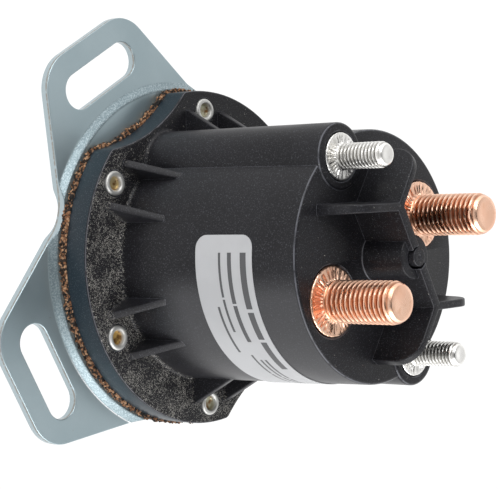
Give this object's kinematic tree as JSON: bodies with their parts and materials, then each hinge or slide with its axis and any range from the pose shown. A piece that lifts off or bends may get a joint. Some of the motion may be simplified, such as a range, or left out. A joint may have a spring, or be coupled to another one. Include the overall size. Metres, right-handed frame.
{
  "type": "starter solenoid",
  "caption": "Starter solenoid: black moulded round body with power and coil studs on a barriered face, riveted over a cork gasket to a steel bracket with slotted ears.",
  "frame": {"origin": "on the body's axis, in the plane of the back faces of the bracket's two ears", "axes": "+Z along the body's axis towards the studs, +X towards one power stud, +Y towards one coil stud and the upper ear, -X towards the other ear"},
  "size_m": [0.0844, 0.0842, 0.069],
  "materials": {
    "zinc": "bright zinc plate",
    "cork": "cork and rubber sheet",
    "moulding": "fine matt black",
    "rivet": "plated",
    "copper": "bare copper",
    "tin": "tin plate",
    "label": "plain film",
    "iron": "soft iron",
    "nylon": "natural nylon",
    "winding": "enamelled copper wire",
    "tape": "coil tape",
    "brass": "turned",
    "rubber": "soft pad",
    "spring": "spring wire"
  },
  "bodies": {
    "solenoid": {"mounting_bracket": "zinc", "cork_gasket": "cork", "housing": "moulding", "rivet_1": "rivet", "rivet_2": "rivet", "rivet_3": "rivet", "rivet_4": "rivet", "rivet_5": "rivet", "rivet_6": "rivet", "power_stud_left": "copper", "power_stud_right": "copper", "coil_stud_upper": "tin", "coil_stud_lower": "tin", "vent_plug": "moulding", "label": "label", "flux_sleeve": "iron", "front_pole_plate": "iron", "coil_bobbin": "nylon", "coil_winding": "winding", "winding_tape": "tape", "coil_lead_upper": "winding", "coil_lead_lower": "winding", "fixed_core": "iron", "stop_pad": "rubber", "return_spring": "spring"},
    "armature": {"plunger": "iron", "plunger_rod": "brass", "retaining_clip": "iron", "contact_spring": "spring"},
    "moving_contact": {"contact_disc": "copper", "contact_bush": "nylon", "contact_washer": "nylon"}
  },
  "joints": [
    {"name": "plunger_travel", "type": "slide", "parent": "solenoid", "child": "armature", "axis": [0, 0, 1], "range_m": [0, 0.0022], "stiffness_N_per_m": 600, "springref_m": -0.005, "deforming": ["return_spring"]},
    {"name": "contact_give", "type": "slide", "parent": "armature", "child": "moving_contact", "axis": [0, 0, 1], "range_m": [-0.001, 0], "stiffness_N_per_m": 800, "springref_m": 0.003, "deforming": ["contact_spring"]}
  ]
}
